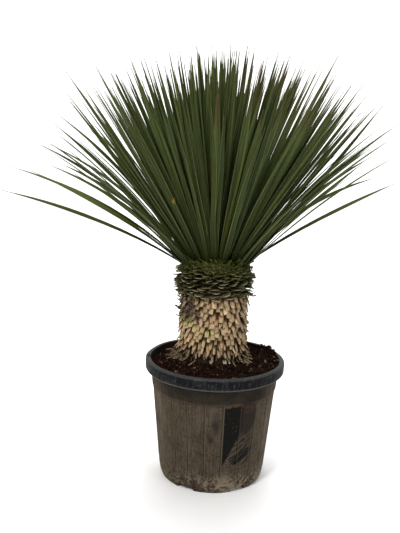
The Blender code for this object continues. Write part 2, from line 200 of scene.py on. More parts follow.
class Finish:
    def __init__(self, name, look=None):
        self.look = look     # its tints by name
        self.material = bpy.data.materials.new(name)
        self.material.use_nodes = True
        self.tree = self.material.node_tree
        self.shader = self.tree.nodes["Principled BSDF"]

    # the one way to get a node: its type, its settings, then its sockets
    def add(self, kind, settings, sockets, output=0):
        node = self.tree.nodes.new(kind)
        for name, value in settings.items():
            setattr(node, name, value)
        for name, value in sockets.items():
            self.plug(value, node.inputs[name])
        return Wire(self, node.outputs[output])

    def plug(self, value, socket):
        if isinstance(value, str):
            value = self.look[value]
        if isinstance(value, Wire):
            self.tree.links.new(value.socket, socket)
        elif socket.type == "RGBA" and len(value) == 3:
            socket.default_value = (*value, 1)
        else:
            socket.default_value = value

    def give(self, sockets):
        for name, value in sockets.items():
            self.plug(value, self.shader.inputs[name])
        return self.material

    def spot(self):
        return self.add("ShaderNodeTexCoord", {}, {}, "Object")

    def place(self):
        return self.add("ShaderNodeAttribute", {"attribute_name": "place"}, {}, "Vector")

    def split(self, vector):
        return [self.add("ShaderNodeSeparateXYZ", {}, {0: vector}, axis) for axis in range(3)]

    def azimuth(self, x, y):     # from the front towards +X
        return self.add("ShaderNodeMath", {"operation": "ARCTAN2"}, {0: x, 1: -y})

    def join(self, x, y, z):
        return self.add("ShaderNodeCombineXYZ", {}, {0: x, 1: y, 2: z})

    def stretched(self, vector, sizes, turn=(0, 0, 0)):
        return self.add("ShaderNodeMapping", {}, {"Vector": vector, "Rotation": turn, "Scale": sizes})

    def grain(self, vector, scale, detail, roughness=0.55):
        sockets = {"Vector": vector, "Scale": scale, "Detail": detail, "Roughness": roughness}
        return self.add("ShaderNodeTexNoise", {}, sockets)

    def chance(self, value):     # one random number for each tone
        return self.add("ShaderNodeTexWhiteNoise", {"noise_dimensions": "1D"}, {"W": value})

    def fade(self, value, low, high):    # 0 below low, 1 above high
        sockets = {"Value": value, "From Min": low, "From Max": high}
        return self.add("ShaderNodeMapRange", {"interpolation_type": "SMOOTHSTEP"}, sockets)

    def mix(self, share, first, second):
        settings = {"data_type": "RGBA", "clamp_factor": True}
        return self.add("ShaderNodeMix", settings, {0: share, 6: first, 7: second}, 2)

    def coats(self, colour, *coats):     # each coat is its share and its tint
        for share, tint in coats:
            colour = self.mix(share, colour, tint)
        return colour

    def bump(self, height, distance, strength):
        sockets = {"Height": height, "Distance": distance, "Strength": strength}
        return self.add("ShaderNodeBump", {}, sockets, "Normal")


# Camera and light

def makeCamera():
    view = {"place": (-0.051, -1.910, 0.968), "tilt": 10.783, "roll": 1.911, "lens": 47.2}
    camera = bpy.data.cameras.new("camera")
    camera.sensor_fit = "VERTICAL"
    camera.sensor_height = 36
    camera.lens = view["lens"]
    camera.clip_end = 60
    holder = bpy.data.objects.new("camera", camera)
    bpy.context.scene.collection.objects.link(holder)
    tilt = Matrix.Rotation(radians(90 - view["tilt"]), 4, "X")
    roll = Matrix.Rotation(radians(view["roll"]), 4, "Z")
    holder.matrix_world = Matrix.Translation(view["place"]) @ tilt @ roll
    bpy.context.scene.camera = holder


def addLamp(name, place, target, size, power, colour):
    lamp = bpy.data.lights.new(name, "AREA")
    lamp.shape = "DISK"
    lamp.size = size
    lamp.energy = power
    lamp.color = colour
    holder = bpy.data.objects.new(name, lamp)
    bpy.context.scene.collection.objects.link(holder)
    aim = (Vector(target) - Vector(place)).to_track_quat("-Z", "Y")
    holder.matrix_world = Matrix.Translation(place) @ aim.to_matrix().to_4x4()


def makeStudio():
    studio = {"sky": 0.42, "floor": (0.90, 0.90, 0.90), "reach": 9, "back": 4.5, "bend": 2.0}
    scene = bpy.context.scene
    scene.view_settings.view_transform = "Standard"
    world = bpy.data.worlds.new("studio")
    world.use_nodes = True
    world.node_tree.nodes["Background"].inputs["Color"].default_value = (*[studio["sky"]] * 3, 1)
    scene.world = world
    addLamp("key", (-1.4, -2.4, 2.8), (0, 0, 0.5), 1.0, 92, (1, 0.98, 0.95))
    addLamp("fill", (2.4, -2.2, 1.5), (0, 0, 0.5), 1.6, 34, (0.98, 0.99, 1))
    addLamp("top", (0.2, 0.3, 3.6), (0, 0, 0.6), 2.0, 62, (1, 1, 1))
    addLamp("backdrop", (0, 1.6, 5.0), (0, 4.5, 1.5), 3.0, 230, (1, 1, 1))

    bm = bmesh.new()
    bend = studio["bend"]
    corner = studio["back"] - bend
    path = [(-studio["reach"], 0), (0, 0)]
    path += [(corner + bend * sin(a), bend - bend * cos(a))
             for a in (radians(7.5 * k) for k in range(13))]
    path.append((studio["back"], studio["reach"]))
    verts = [bm.verts.new((-studio["reach"], y, z)) for y, z in path]
    edges = [bm.edges.new(pair) for pair in zip(verts, verts[1:])]
    swept = bmesh.ops.extrude_edge_only(bm, edges=edges)["geom"]
    moved = [part for part in swept if isinstance(part, bmesh.types.BMVert)]
    bmesh.ops.translate(bm, vec=(2 * studio["reach"], 0, 0), verts=moved)
    bmesh.ops.recalc_face_normals(bm, faces=bm.faces)
    if bm.faces[:][0].normal.z < 0:
        bmesh.ops.reverse_faces(bm, faces=bm.faces)
    floorFinish = Finish("paleFloor")
    speckle = floorFinish.grain(floorFinish.spot(), 3, 2)
    tint = floorFinish.mix(speckle, studio["floor"], tuple(0.98 * part for part in studio["floor"]))
    mesh = bpy.data.meshes.new("floor")
    bm.to_mesh(mesh)
    bm.free()
    mesh.materials.append(floorFinish.give({"Base Color": tint, "Roughness": 0.9}))
    mesh.shade_smooth()
    floor = bpy.data.objects.new("floor", mesh)
    scene.collection.objects.link(floor)
    print("studio ready")


# Pot

pot = {
    "height": 0.345, "lip": 0.197, "lipInner": 0.1825, "lipInnerHeight": 0.343,
    "skirtTurn": 0.316, "skirtFoot": 0.3075, "skirtFootRadius": 0.1832, "neck": 0.1800,
    "step": 0.265, "stepRadius": 0.1765, "stepDepth": 0.0025, "heel": 0.040, "heelRadius": 0.1525,
    "foot": 0.1430, "footWidth": 0.0170, "footHeight": 0.0125, "pad": 0.0400, "floorTop": 0.0160,
    "wall": 0.0028, "steps": 288, "rounding": 0.0008,
    "ribs": 22, "firstRib": 8.5, "ribWidth": 0.0030, "ribHeight": 0.0013,
    "notches": 6, "firstNotch": 30, "notchWidth": 0.039, "drainRadius": 0.009, "drainRing": 0.085,
    "middle": 0.165,         # radius of the wall half way up
    "crumbSize": 0.0022,     # and each crumb's azimuth and height
    "crumbs": ((-78, 0.088), (-52, 0.055), (35, 0.102), (100, 0.15), (170, 0.09), (-130, 0.2)),
}


def potWallRadius(height):
    share = (height - pot["heel"]) / (pot["step"] - pot["heel"])
    return pot["heelRadius"] + share * (pot["stepRadius"] - pot["stepDepth"] - pot["heelRadius"])


def potInnerRadius(height):
    if height < pot["heel"]:
        share = (height - pot["floorTop"]) / (pot["heel"] - pot["floorTop"])
        return pot["heelRadius"] - pot["wall"] - 0.006 * (1 - share)
    if height < pot["step"]:
        return potWallRadius(height) - pot["wall"]
    neck = pot["neck"] - pot["wall"]
    if height < pot["skirtFoot"]:
        share = (height - pot["step"]) / (pot["skirtFoot"] - pot["step"])
        low = potWallRadius(pot["step"]) - pot["wall"]
        return low + share * (neck - low)
    share = min((height - pot["skirtFoot"]) / (pot["lipInnerHeight"] - pot["skirtFoot"]), 1)
    return neck + share * (pot["lipInner"] - neck)


def potOutline():
    lip, neck, foot, high = pot["lip"], pot["neck"], pot["foot"], pot["height"]
    turn, skirtFoot, inward = pot["skirtTurn"], pot["skirtFoot"], pot["skirtFootRadius"]
    outer = [
        (pot["lipInner"] + 0.0015, high - 0.0003), (pot["lipInner"] + 0.006, high),
        (lip - 0.0045, high - 0.0006), (lip - 0.0012, high - 0.0028), (lip, high - 0.0065),
        (lip - 0.0002, high - 0.015), (lip - 0.0005, turn), (lip - 0.0028, turn - 0.0035),
        (inward + 0.0045, skirtFoot + 0.0011), (inward + 0.0018, skirtFoot + 0.0012),
        (inward + 0.0012, skirtFoot - 0.0005), (inward - 0.0006, skirtFoot),
        (inward, skirtFoot + 0.0024), (lip - 0.0034, turn + 0.0012), (lip - 0.0032, high - 0.0070),
        (pot["lipInner"] + 0.004, high - 0.0045), (neck, skirtFoot),
        (pot["stepRadius"] + 0.0012, pot["step"] + 0.014), (pot["stepRadius"], pot["step"] + 0.003),
        (potWallRadius(pot["step"]), pot["step"]), (potWallRadius(0.15), 0.15),
        (pot["heelRadius"], pot["heel"]), (pot["heelRadius"] - 0.0006, pot["heel"] - 0.007),
        (pot["heelRadius"] - 0.0018, pot["heel"] - 0.014), (pot["heelRadius"] - 0.0034, 0.0175),
        (foot + 0.0045, pot["footHeight"] - 0.002), (foot + 0.0012, 0.0028), (foot, 0),
        (foot - pot["footWidth"], 0), (foot - pot["footWidth"] - 0.002, pot["footHeight"]),
        (pot["pad"] + 0.002, pot["footHeight"]), (pot["pad"], 0), (0, 0),
    ]
    heights = (pot["floorTop"], pot["heel"], pot["step"], skirtFoot, pot["lipInnerHeight"])
    inner = [(0, pot["floorTop"])] + [(potInnerRadius(height), height) for height in heights]
    return inner + outer


def potNotches(bm):
    middle = pot["foot"] - pot["footWidth"] / 2
    top = pot["footHeight"] - 0.0004
    spacing = tau / pot["notches"]
    for vert in bm.verts:
        reach = hypot(vert.co.x, vert.co.y)
        if vert.co.z > top or reach < middle - 0.020:
            continue
        azimuth = atan2(vert.co.x, -vert.co.y) - radians(pot["firstNotch"])
        aside = abs((azimuth + spacing / 2) % spacing - spacing / 2) * middle
        share = vert.co.z / top
        halfWidth = pot["notchWidth"] * (1.12 + (0.86 - 1.12) * share) / 2
        lift = 1 - smooth(aside, halfWidth - 0.0015, halfWidth + 0.0015)
        vert.co.z += (top - vert.co.z) * lift


def potRib(azimuth):
    part = newBody()
    bmesh.ops.create_cube(part, size=1)
    upright = [edge for edge in part.edges if abs(edge.verts[0].co.z - edge.verts[1].co.z) > 0.5]
    outer = [edge for edge in upright if edge.verts[0].co.y < 0]
    bmesh.ops.bevel(part, geom=outer, offset=0.35, segments=3, profile=0.5, affect="EDGES", material=-1)
    low, high = pot["heel"] + 0.004, pot["step"] - 0.001
    for vert in part.verts:
        height = low + (vert.co.z + 0.5) * (high - low)
        outward = potWallRadius(height) - pot["wall"] * 0.5
        outward += (0.5 - vert.co.y) * (pot["wall"] * 0.5 + pot["ribHeight"])
        vert.co = Vector((vert.co.x * pot["ribWidth"], -outward, height))
    bmesh.ops.rotate(part, matrix=Matrix.Rotation(azimuth, 3, "Z"), verts=part.verts)
    return part


def potDrains(bm):
    mesh = templateFrom(bm)
    drilled = bpy.data.objects.new("drilled", mesh)
    holes = bmesh.new()
    for k in range(pot["notches"]):
        hole = bmesh.ops.create_cone(holes, cap_ends=True, segments=32, radius1=pot["drainRadius"],
                                     radius2=pot["drainRadius"], depth=0.03)
        azimuth = radians(pot["firstNotch"]) + k * tau / pot["notches"]
        place = around(azimuth) * pot["drainRing"] + upward * pot["footHeight"]
        bmesh.ops.translate(holes, vec=place, verts=hole["verts"])
    drill = bpy.data.objects.new("drill", templateFrom(holes))
    for helper in (drilled, drill):
        bpy.context.scene.collection.objects.link(helper)
    cut = drilled.modifiers.new("holes", "BOOLEAN")
    cut.object = drill
    cut.operation = "DIFFERENCE"
    graph = bpy.context.evaluated_depsgraph_get()
    graph.update()
    done = bmesh.new()
    done.from_mesh(drilled.evaluated_get(graph).data)
    for helper in (drilled, drill):
        bpy.data.objects.remove(helper, do_unlink=True)
    return done


def makePot(finish):
    bm = turnedBody(potOutline(), pot["steps"], pot["rounding"])
    potNotches(bm)
    bm = potDrains(bm)
    for k in range(pot["ribs"]):
        pour(bm, potRib(radians(pot["firstRib"]) + k * tau / pot["ribs"]))
    for vert in bm.verts:
        warp = 0.0006 * wobble(vert.co, 9, 3)
        reach = hypot(vert.co.x, vert.co.y)
        if reach > 0.12 and vert.co.z > 0.02:
            vert.co.x *= 1 + warp / reach
            vert.co.y *= 1 + warp / reach
        if vert.co.z > pot["skirtFoot"] - 0.002:
            vert.co.z += 0.0016 * wobble(Vector((vert.co.x, vert.co.y, 0)), 11, 7)
    draw = random.Random(6)
    crumbs = []
    for azimuth, level in pot["crumbs"]:
        spot = around(radians(azimuth)) * potWallRadius(level) + upward * level
        crumbs.append((0, chipShape(draw, spot, pot["crumbSize"])))
    stampAll(bm, crumbTemplate(2), crumbs)
    addPiece("pot_shell", bm, finish, ("pot",), 32)


# 1 inside an uneven oval and 0 outside; the distances are in half sizes

def oval(f, aside, above, rough, soft=0.25):
    return f.fade(1 - (aside * aside + above * above) ** 0.5 + rough, 0.0, soft)


def patch(f, turn, height, rough, azimuth, level, halfTurn, halfHeight, soft=0.25):
    aside = (turn - radians(azimuth)) / radians(halfTurn)
    return oval(f, aside, (height - level) / halfHeight, rough, soft)


def potFinish():
    look = {
        "plastic": (0.0036, 0.0036, 0.0032), "bandPlastic": (0.0040, 0.0044, 0.0052),
        "bandDustAndHighlight": (0.064, 0.064, 0.064), "mud": (0.046, 0.034, 0.0225), "mudPaleAndHighlight": (0.090, 0.071, 0.051),
        "mudDarkAndShade": (0.0150, 0.0105, 0.0065), "dustAndSideLight": (0.20, 0.160, 0.115), "rust": (0.10, 0.024, 0.012),
        "film": (0.0125, 0.0120, 0.0108),
        # azimuth, height and half sizes of the rubbed places
        "rubbed": ((2, 0.205, 6, 0.036), (-68, 0.178, 9, 0.038), (-27, 0.291, 15, 0.013),
                   (12, 0.289, 10, 0.014), (-58, 0.290, 6, 0.010), (-3, 0.165, 4, 0.022),
                   (24, 0.100, 7, 0.014), (40, 0.292, 9, 0.010), (150, 0.20, 8, 0.05),
                   (-140, 0.12, 9, 0.05), (95, 0.22, 7, 0.04), (62, 0.09, 5, 0.03),
                   (-100, 0.24, 8, 0.03), (180, 0.29, 20, 0.012), (110, 0.29, 9, 0.012)),
    }
    f = Finish("potPlastic", look)
    spot = f.spot()
    x, y, z = f.split(spot)
    turn = f.azimuth(x, y)
    reach = (x * x + y * y) ** 0.5
    fine = f.grain(spot, 900, 3, 0.6)
    medium = f.grain(spot, 130, 5, 0.65)
    broad = f.grain(spot, 18, 4, 0.6)
    streaks = f.grain(f.stretched(spot, (1, 1, 0.06)), 300, 4, 0.65)
    hoops = f.grain(f.join(turn * 5, 0, z * 330), 1, 3, 0.6)
    ragged = (medium - 0.5) * 1.5 + (broad - 0.5) * 1.2 + (streaks - 0.5) * 1.1

    # plain black panel between two ribs, its lower edge sloping up to the right
    panelSide = f.fade(turn + (medium - 0.5) * 0.02, radians(8.6), radians(9.8))
    panelSide = panelSide * (1 - f.fade(turn + ragged * 0.05, radians(24.5), radians(28)))
    slope = z - 0.078 - (turn - radians(8.5)) * 0.33 + ragged * 0.020
    panel = panelSide * f.fade(slope, -0.003, 0.008) * (1 - f.fade(z + ragged * 0.006, 0.252, 0.266))

    # strokes scraped through the mud, rising to the right
    along = z * 0.55 + turn * 0.83 * pot["middle"]
    across = z * 0.83 - turn * 0.55 * pot["middle"]
    strokes = f.grain(f.join(across * 230, along * 12, 0), 1, 3, 0.6)
    scraped = patch(f, turn, z, ragged * 0.25, 28, 0.132, 17, 0.058) * f.fade(strokes, 0.51, 0.55)
    bare = panel + scraped

    # where the mud is rubbed thin: beside the panel, then here and there
    thin = patch(f, turn, z, ragged * 0.3, 31, 0.228, 12, 0.060)
    thin = thin * f.fade(turn, radians(23), radians(25))
    thin = thin * (1 - f.fade(turn, radians(40), radians(42)))
    for place in look["rubbed"]:
        thin = thin + patch(f, turn, z, ragged * 1.3 - 0.10, *place, 0.7)
    band = f.fade(z, pot["skirtFoot"] - 0.0008, pot["skirtFoot"] + 0.0006)
    inside = f.fade(z, 0.306, 0.309) * (1 - f.fade(reach, 0.1826, 0.1836))
    caked = (1 - f.fade(bare, 0.25, 0.70)) * (1 - band)
    caked = caked * (0.72 + f.fade(broad * 0.4 + medium * 0.7, 0.40, 0.58) * 0.28)

    # lines along the ribs: painted highlight with mud on the crest, painted shadow beside it
    spacing = tau / pot["ribs"]
    place = (turn - radians(pot["firstRib"]) + spacing / 2 + tau) / spacing
    fromRib = f.add("ShaderNodeMath", {"operation": "FRACT"}, {0: place}) - 0.5
    fromRib = fromRib * spacing * pot["middle"] * 1000     # in millimetres
    wall = f.fade(z, pot["step"] + 0.001, pot["step"] - 0.001) * f.fade(z, 0.038, 0.050)
    crestHighlightAndMud = f.fade(abs(fromRib), 2.2, 1.0) * wall
    ribShadow = f.fade(abs(fromRib + 2.8), 1.6, 0.6) * wall

    weave = streaks * 0.34 + hoops * 0.16 + fine * 0.50
    columns = f.grain(f.join(turn * 34, z * 2.4, 0), 1, 3, 0.6)
    # painted shade on the neck under the rim band, then a dark line low round the heel
    neckShadeAndLowLine = f.fade(z + ragged * 0.004, 0.255, 0.276) * (0.48 + medium * 0.50)
    neckShadeAndLowLine = neckShadeAndLowLine + f.fade(z, 0.037, 0.032) * f.fade(z, 0.027, 0.031) * 0.55
    # painted highlight along the step
    stepHighlight = f.fade(abs(z - 0.2675), 0.0016, 0.0006)
    neck = f.fade(z, 0.262, 0.272) * f.fade(hoops * 0.3 + medium * 0.3 + broad * 0.4, 0.47, 0.56)
    dusty = f.fade(z, 0.075, 0.020) * f.fade(medium * 0.6 + broad * 0.4, 0.47, 0.60)
    # painted light on the pot's left and right sides, with streaky dust in it
    sideLightAndDust = 0.12 + f.fade(columns * 0.5 + streaks * 0.5, 0.44, 0.62) * 0.30
    redSpots = patch(f, turn, z, ragged * 0.2, 32, 0.252, 10, 0.020)
    redSpots = redSpots * f.fade(f.grain(spot, 260, 3, 0.6), 0.56, 0.61)
    # the mud's own tones, with the painted highlights, painted shade and painted side light above laid on
    mudTone = f.coats(
        "mud",
        (f.fade(weave, 0.38, 0.64), "mudPaleAndHighlight"),
        (f.fade(columns, 0.56, 0.34) * 0.30, "mudDarkAndShade"),
        (f.fade(medium, 0.54, 0.36) * 0.26, "mudDarkAndShade"),
        (f.fade(streaks, 0.47, 0.34) * 0.30, "mudDarkAndShade"),
        (f.fade(broad, 0.52, 0.30) * 0.28, "mudDarkAndShade"),
        (crestHighlightAndMud * 0.55, "mudPaleAndHighlight"),
        (ribShadow * 0.75, "mudDarkAndShade"),
        (neckShadeAndLowLine, "mudDarkAndShade"),
        (stepHighlight * 0.55, "mudPaleAndHighlight"),
        (neck * 0.85, "film"),
        (thin * (0.62 + medium * 0.4), "film"),
        (dusty * 0.90, "dustAndSideLight"),
        (f.fade(abs(turn), 0.7, 1.25) * sideLightAndDust, "dustAndSideLight"),
        (redSpots * 0.85, "rust"),
    )
    plasticTone = f.coats("plastic", (f.fade(medium, 0.55, 0.70) * 0.5, "mud"), (crestHighlightAndMud * 0.6, "mud"),
                          (redSpots * 0.7, "rust"))

    # painted highlights on the band's top edge and on the bead at its foot
    edgeLight = f.fade(z, 0.338, 0.3435) * (1 - inside) * 0.60
    beadLight = (1 - f.fade(z, 0.3145, 0.3170)) * 0.9
    scuffs = medium * 0.45 + fine * 0.15 + streaks * 0.40
    wearAndSideLight = f.fade(scuffs, 0.50, 0.60) * 0.50 + f.fade(broad, 0.48, 0.7) * 0.12
    # painted light on the band's left and right sides, added to the real scuffs
    wearAndSideLight = wearAndSideLight + f.fade(abs(turn), 0.8, 1.5) * 0.30
    bandTone = f.coats("bandPlastic", (edgeLight + beadLight + wearAndSideLight, "bandDustAndHighlight"), (inside, "mudDarkAndShade"))
    colour = f.coats(plasticTone, (caked, mudTone), (band, bandTone))
    height = caked * 0.6 + medium * 0.35 + fine * 0.15 + streaks * 0.3 * caked
    return f.give({"Base Color": colour, "Roughness": 0.50 + caked * 0.40 + band * 0.12,
                   "Specular IOR Level": 0.05, "Normal": f.bump(height, 0.0014, 0.7)})


# Compost

soil = {
    "level": 0.329, "mound": 0.022, "moundReach": 0.085, "moundSlope": 0.045, "stemHole": 0.0863,
    "gap": 0.00045, "rings": 70, "steps": 200,
    "chips": 5200, "heapChips": 460, "nubFibres": 16, "looseFibres": 110, "nubAzimuth": -83,
    # x, y, rise and spread of the heap at the back right and of the hollow at the back left
    "heaps": ((0.158, 0.064, 0.021, 0.0034), (-0.085, 0.125, -0.010, 0.0040)),
}


def soilHeight(x, y):
    fromMound = max(hypot(x - plantX, y) - soil["moundReach"], 0)
    height = soil["level"] + soil["mound"] * exp(-(fromMound / soil["moundSlope"]) ** 2)
    for middleX, middleY, rise, spread in soil["heaps"]:
        height += rise * exp(-((x - middleX) ** 2 + (y - middleY) ** 2) / spread)
    return height + 0.0022 * sin(97 * x + 31 * y) * cos(83 * y - 44 * x)


def chipShape(draw, centre, size):
    angles = draw.uniform(0, tau), draw.gauss(0, 0.5), draw.gauss(0, 0.35)
    aboutZ, aboutX, aboutY = (Matrix.Rotation(angle, 3, axis) for angle, axis in zip(angles, "ZXY"))
    turn = aboutZ @ aboutX @ aboutY
    sizes = (size * draw.uniform(0.8, 2.4), size * draw.uniform(0.5, 1.0), size * draw.uniform(0.25, 0.6))
    seed = draw.uniform(0, 90)

    def shape(across, deep, along):
        spot = Vector((across, deep, along))
        spot *= 1 + 0.5 * wobble(spot, 1.3, seed)
        return centre + turn @ Vector((spot.x * sizes[0], spot.y * sizes[1], spot.z * sizes[2]))
    return shape


def makeCompost(finish):
    gap, hole = soil["gap"], soil["stemHole"]
    rim = potInnerRadius(soil["level"]) - gap
    top = [(hole + (rim - hole) * k / soil["rings"], soil["level"]) for k in range(soil["rings"] + 1)]
    heights = (pot["skirtFoot"], 0.29, pot["step"], 0.15, pot["heel"], pot["floorTop"] + 0.0003)
    side = [(potInnerRadius(height) - gap, height) for height in heights]
    bm = turnedBody(top + side + [(hole, pot["floorTop"] + 0.0003)], soil["steps"], 0.0001, True)
    for vert in bm.verts:
        reach = hypot(vert.co.x, vert.co.y)
        inward = 1 - min(max((reach - hole) / (rim - hole), 0), 1)
        vert.co.x += plantX * inward          # the hole is round the stem, the rim round the pot
        if vert.co.z > soil["level"] - 0.0005:
            lump = 0.0040 * wobble(vert.co, 60, 2) + 0.0030 * wobble(vert.co, 170, 5)
            vert.co.z = soilHeight(vert.co.x, vert.co.y) - 0.001 + lump
            if reach > rim - 0.004:
                follow = (potInnerRadius(vert.co.z) - gap) / rim
                vert.co.x *= follow
                vert.co.y *= follow
    draw = random.Random(5)
    chips = []
    while len(chips) < soil["chips"]:
        azimuth, reach = draw.uniform(0, tau), rim * sqrt(draw.random())
        spot = around(azimuth) * reach
        size = 0.0011 + 0.0031 * draw.random() ** 3
        aside = hypot(spot.x - plantX, spot.y)
        if aside < hole + 0.002 or reach > rim - 0.0015 - size * 1.6:
            continue
        spot.z = soilHeight(spot.x, spot.y) + draw.uniform(-0.001, 0.0016)
        chips.append((draw.random(), chipShape(draw, spot, size)))
    for k in range(soil["heapChips"]):
        azimuth = radians(draw.uniform(84, 130))
        clump = 0.5 + 0.5 * sin(azimuth * 19) * cos(azimuth * 47)
        lift = draw.uniform(0, 0.004) + 0.013 * clump * draw.random()
        spot = around(azimuth) * (rim - draw.uniform(0.001, 0.018))
        spot.z = soilHeight(spot.x, spot.y) + lift
        chips.append((draw.random(), chipShape(draw, spot, draw.uniform(0.0016, 0.0034))))
    stampAll(bm, crumbTemplate(1), chips)
    nub = around(radians(soil["nubAzimuth"])) * (rim - 0.001) + upward * (soil["level"] + 0.006)
    fibres = []
    for k in range(soil["nubFibres"]):
        heading = radians(soil["nubAzimuth"] + draw.gauss(0, 30))
        direction = (around(heading) * draw.uniform(0.2, 1) + upward).normalized()
        fibres.append((0.3, threadShape(draw, nub, direction, draw.uniform(0.012, 0.022), 0.0010)))
    for k in range(soil["looseFibres"]):
        azimuth, reach = draw.uniform(0, tau), draw.uniform(0.115, 0.165)
        spot = around(azimuth) * reach
        spot.z = soilHeight(spot.x, spot.y) + 0.001
        direction = around(draw.uniform(0, tau)) + upward * draw.uniform(0, 0.35)
        fibres.append((draw.random(), threadShape(draw, spot, direction.normalized(), 0.014, 0.0005)))
    stampAll(bm, rodTemplate(4, (0.3, 0.6, 0.85)), fibres)
    addPiece("compost_bed", bm, finish, ("compost",), 60)


def compostFinish():
    look = {"dark": (0.0014, 0.0009, 0.0008), "brown": (0.0150, 0.0072, 0.0050),
            "red": (0.070, 0.032, 0.020), "pale": (0.20, 0.150, 0.110)}
    f = Finish("barkCompost", look)
    spot = f.spot()
    tone = f.split(f.place())[2]
    luck = f.chance(tone * 71.3)
    medium = f.grain(spot, 260, 4, 0.6)
    fibres = f.grain(f.stretched(spot, (1, 0.25, 1), (0, 0, 0.5)), 700, 3, 0.6)
    colour = f.coats("dark", (f.fade(medium, 0.42, 0.64), "brown"),
                     (f.fade(luck, 0.45, 0.95) * f.fade(fibres, 0.35, 0.6), "red"),
                     (f.fade(luck, 0.950, 0.975) * 0.8, "pale"))
    return f.give({"Base Color": colour, "Roughness": 0.95, "Specular IOR Level": 0.015,
                   "Normal": f.bump(medium + fibres * 0.6, 0.0014, 0.9)})


# Dry stem: husks are the bases of old leaves, shingled downwards

husk = {
    "count": 400, "length": 0.042, "width": 0.0156, "thickness": 0.0034, "sink": 0.0035,
    "lowest": 0.403, "highest": 0.560, "clearance": 0.003, "stem": 0.0860, "stemBottom": 0.225,
    "cup": 0.0016, "stripCount": 190, "peelCount": 60, "threadCount": 130,
    # long strips that sprawl over the compost: azimuth, its spread, length and number
    "sprawl": ((-80, 11, 0.056, 14), (-52, 10, 0.038, 8), (64, 13, 0.046, 15), (150, 25, 0.052, 9),
               (-140, 25, 0.056, 9)),
    # big curled strips: azimuth, height, length, lean, curl, width and tone
    "curls": ((84, 0.548, 0.042, 0.35, 1.5, 0.0120, 0.2), (76, 0.540, 0.030, 0.50, 1.9, 0.0080, 0.7),
              (-92, 0.540, 0.030, 0.40, 2.0, 0.0090, 2.3), (-84, 0.500, 0.032, 0.45, 2.2, 0.0080, 2.6),
              (-98, 0.488, 0.028, 0.50, 2.4, 0.0080, 2.1), (-78, 0.476, 0.030, 0.40, 2.1, 0.0070, 0.4)),
    # pale cut ends low at the front: azimuth and height of their lower end
    "cutEnds": ((-4.5, 0.3480), (20, 0.3490), (26, 0.3480), (33, 0.3485), (40, 0.3500), (-168, 0.349),
                (140, 0.350)),
}


def huskShape(draw, own, azimuth, rootHeight, flare, length, slim):
    out = around(azimuth)
    across = Vector((out.y, -out.x, 0))
    sway = radians(draw.uniform(-9, 9))
    down = -upward * cos(flare) + out * sin(flare)
    down = (down * cos(sway) + across * sin(sway)).normalized()
    root = fromStem(out, husk["stem"] - husk["sink"], rootHeight)
    tip = root + down * length * draw.uniform(0.88, 1.08)
    tip.z = max(tip.z, soilHeight(tip.x, tip.y) + husk["clearance"])
    down = (tip - root).normalized()
    across = (across - down * across.dot(down)).normalized()
    face = down.cross(across)
    face = face if face.dot(out) > 0 else -face
    rootWide = husk["width"] * draw.uniform(0.85, 1.12) * slim
    tipWide = rootWide * draw.uniform(0.66, 0.92)
    curl, jag, seed = own.uniform(-0.002, 0.0085), own.uniform(0.001, 0.004), own.uniform(0, 60)
    cup = husk["cup"] * own.uniform(0.5, 1.3)

    def shape(round, deep, along):
        aside = copysign(abs(round) ** 0.6, round)
        belly = 1 + 0.10 * sin(pi * along)
        half = (rootWide + (tipWide - rootWide) * along) * 0.5 * belly
        torn = jag * ripple(aside * 2.2, seed, 0) if along > 0.9 else 0
        centre = root + (tip - root) * along + down * torn * 2
        thick = husk["thickness"] * (0.70 - 0.28 * along) * (1 - 0.30 * aside * aside)
        lift = curl * along ** 3 - cup * aside * aside
        lift += 0.0007 * ripple(aside * 2, along * 3, seed)
        return centre + across * (aside * half) + face * (lift + deep * thick)
    return shape


def threadShape(own, start, direction, length, thick):
    curl = Vector([own.gauss(0, 0.45) for axis in range(3)])
    across = direction.orthogonal().normalized()
    other = direction.cross(across)

    def shape(aside, deep, along):
        centre = start + direction * (length * along) + curl * (length * along * along)
        size = thick * (1 - 0.7 * along)
        return centre + across * (aside * size) + other * (deep * size)
    return shape


def hangingShape(own, azimuth, rootHeight, length, lean, curl, wide, thick=0.0011):
    out = around(azimuth)
    across = Vector((-out.y, out.x, 0))
    sway, seed = own.gauss(0, 0.20), own.uniform(0, 60)
    root = fromStem(out, husk["stem"] - 0.002, rootHeight)

    def shape(aside, deep, along):
        turned = lean + curl * along
        rise = (sin(lean) - sin(turned)) / curl
        centre = root + (out * ((cos(lean) - cos(turned)) / curl) + upward * rise) * length
        centre += across * (length * (sway * along + 0.10 * ripple(along * 2, seed, 5)))
        centre.z = max(centre.z, soilHeight(centre.x, centre.y) + 0.0018)
        half = wide * 0.5 * (1 - 0.40 * along) * (1 + 0.3 * ripple(along * 4, seed, 1))
        face = out * cos(turned) + upward * sin(turned)
        return centre + across * (aside * half) + face * (deep * thick - aside * aside * wide * 0.16)
    return shape


